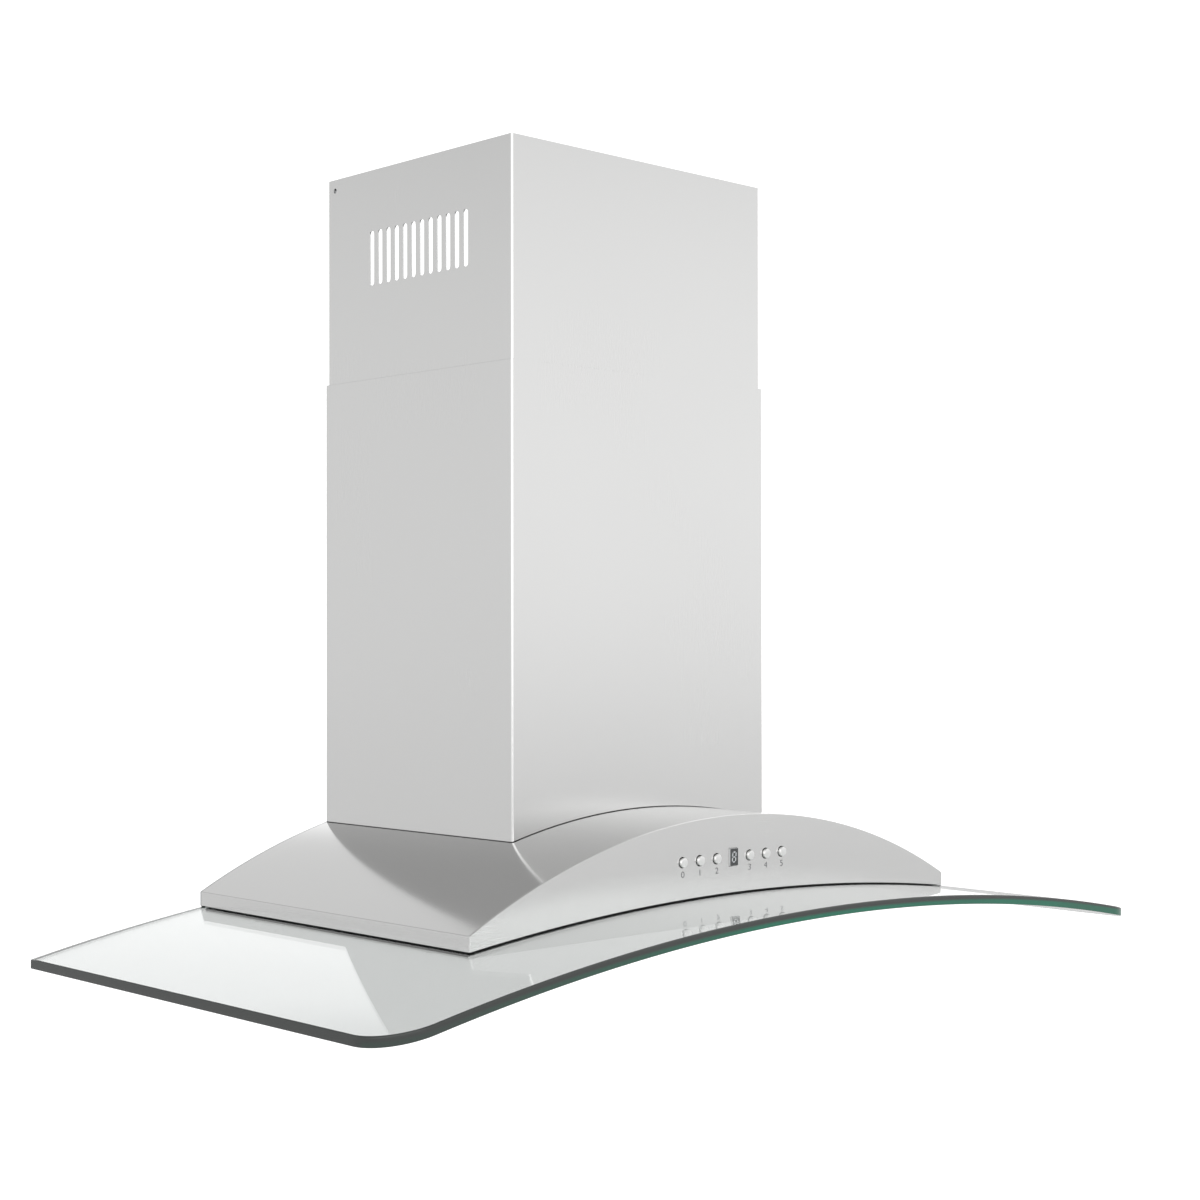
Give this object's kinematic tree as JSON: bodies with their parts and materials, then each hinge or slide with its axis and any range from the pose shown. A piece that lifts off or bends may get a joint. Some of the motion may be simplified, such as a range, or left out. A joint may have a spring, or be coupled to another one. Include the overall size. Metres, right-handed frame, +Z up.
{
  "type": "range hood",
  "caption": "Wall range hood: curved glass canopy, arched steel body with push buttons, telescopic chimney with side vents, blower, filters and lamps.",
  "frame": {"origin": "centre of the hood on the wall plane, level with the foot of the chimney's side walls", "axes": "+X right along the front, +Y into the wall, -Y the front with the buttons, +Z up"},
  "size_m": [0.9, 0.473, 0.6872],
  "materials": {
    "stainless": "brushed",
    "zinc_steel": "zinc plated",
    "canopy_glass": "clear, green edge",
    "seal_rubber": "matt",
    "black_plastic": "moulded",
    "grey_plastic": "moulded",
    "white_plastic": "moulded",
    "button_metal": "turned",
    "circuit_board": "solder mask",
    "display_lens": "polished",
    "lamp_lens": "frosted",
    "aluminium": "satin"
  },
  "bodies": {
    "hood": {"blower_motor": "zinc_steel", "blower_plate": "zinc_steel", "blower_side_left": "zinc_steel", "blower_side_right": "zinc_steel", "blower_skirt": "zinc_steel", "blower_wrap": "zinc_steel", "cable_gland": "black_plastic", "canopy_shell": "stainless", "chimney_angle_left": "zinc_steel", "chimney_angle_right": "zinc_steel", "clamp_bar_left": "zinc_steel", "clamp_bar_right": "zinc_steel", "control_board": "circuit_board", "control_box": "black_plastic", "control_fascia": "stainless", "display_window": "display_lens", "glass_canopy": "canopy_glass", "glass_screw_1": "zinc_steel", "glass_screw_2": "zinc_steel", "glass_screw_3": "zinc_steel", "glass_screw_4": "zinc_steel", "inlet_ring": "black_plastic", "junction_box": "grey_plastic", "junction_cover": "grey_plastic", "lamp_housing_left": "white_plastic", "lamp_housing_right": "white_plastic", "lamp_lens_left": "lamp_lens", "lamp_lens_right": "lamp_lens", "lower_chimney": "stainless", "lower_gasket": "seal_rubber", "motor_bracket": "zinc_steel", "motor_capacitor": "white_plastic", "outlet_collar": "black_plastic", "outlet_plate": "zinc_steel", "rear_panel": "zinc_steel", "underside_tray": "stainless", "upper_gasket": "seal_rubber"},
    "upper_section": {"upper_chimney": "stainless", "wall_bracket": "zinc_steel"},
    "wheel": {"impeller_left": "aluminium", "impeller_right": "aluminium", "motor_shaft": "zinc_steel"},
    "damper_left": {"damper_flap_left": "aluminium", "damper_pin_left": "zinc_steel"},
    "damper_right": {"damper_flap_right": "aluminium", "damper_pin_right": "zinc_steel"},
    "push_1": {"button_1": "button_metal"},
    "push_2": {"button_2": "button_metal"},
    "push_3": {"button_3": "button_metal"},
    "push_4": {"button_4": "button_metal"},
    "push_5": {"button_5": "button_metal"},
    "push_6": {"button_6": "button_metal"},
    "filter_left": {"filter_frame_left": "aluminium", "filter_baffle_lower_left": "aluminium", "filter_baffle_upper_left": "aluminium"},
    "latch_left": {"filter_latch_left": "black_plastic"},
    "filter_right": {"filter_frame_right": "aluminium", "filter_baffle_lower_right": "aluminium", "filter_baffle_upper_right": "aluminium"},
    "latch_right": {"filter_latch_right": "black_plastic"}
  },
  "joints": [
    {"name": "chimney_slide", "type": "slide", "parent": "hood", "child": "upper_section", "axis": [0, 0, 1], "range_m": [-0.18, 0.15]},
    {"name": "wheel_spin", "type": "hinge", "parent": "hood", "child": "wheel", "pos_m": [0, -0.11853, 0.11732], "axis": [1, 0, 0], "continuous": true},
    {"name": "damper_left_hinge", "type": "hinge", "parent": "hood", "child": "damper_left", "pos_m": [-0.0022, -0.14873, 0.24842], "axis": [0, 1, 0], "range_deg": [0, 75]},
    {"name": "damper_right_hinge", "type": "hinge", "parent": "hood", "child": "damper_right", "pos_m": [0.0022, -0.14873, 0.24842], "axis": [0, -1, 0], "range_deg": [0, 75]},
    {"name": "button_1_press", "type": "slide", "parent": "hood", "child": "push_1", "axis": [0, 1, 0], "range_m": [0, 0.0012], "stiffness_N_per_m": 500},
    {"name": "button_2_press", "type": "slide", "parent": "hood", "child": "push_2", "axis": [0, 1, 0], "range_m": [0, 0.0012], "stiffness_N_per_m": 500},
    {"name": "button_3_press", "type": "slide", "parent": "hood", "child": "push_3", "axis": [0, 1, 0], "range_m": [0, 0.0012], "stiffness_N_per_m": 500},
    {"name": "button_4_press", "type": "slide", "parent": "hood", "child": "push_4", "axis": [0, 1, 0], "range_m": [0, 0.0012], "stiffness_N_per_m": 500},
    {"name": "button_5_press", "type": "slide", "parent": "hood", "child": "push_5", "axis": [0, 1, 0], "range_m": [0, 0.0012], "stiffness_N_per_m": 500},
    {"name": "button_6_press", "type": "slide", "parent": "hood", "child": "push_6", "axis": [0, 1, 0], "range_m": [0, 0.0012], "stiffness_N_per_m": 500},
    {"name": "filter_left_hinge", "type": "hinge", "parent": "hood", "child": "filter_left", "pos_m": [-0.128, -0.0345, -0.0755], "axis": [1, 0, 0], "range_deg": [0, 75]},
    {"name": "latch_left_slide", "type": "slide", "parent": "filter_left", "child": "latch_left", "axis": [0, 1, 0], "range_m": [0, 0.003], "stiffness_N_per_m": 300},
    {"name": "filter_right_hinge", "type": "hinge", "parent": "hood", "child": "filter_right", "pos_m": [0.128, -0.0345, -0.0755], "axis": [1, 0, 0], "range_deg": [0, 75]},
    {"name": "latch_right_slide", "type": "slide", "parent": "filter_right", "child": "latch_right", "axis": [0, 1, 0], "range_m": [0, 0.003], "stiffness_N_per_m": 300}
  ]
}
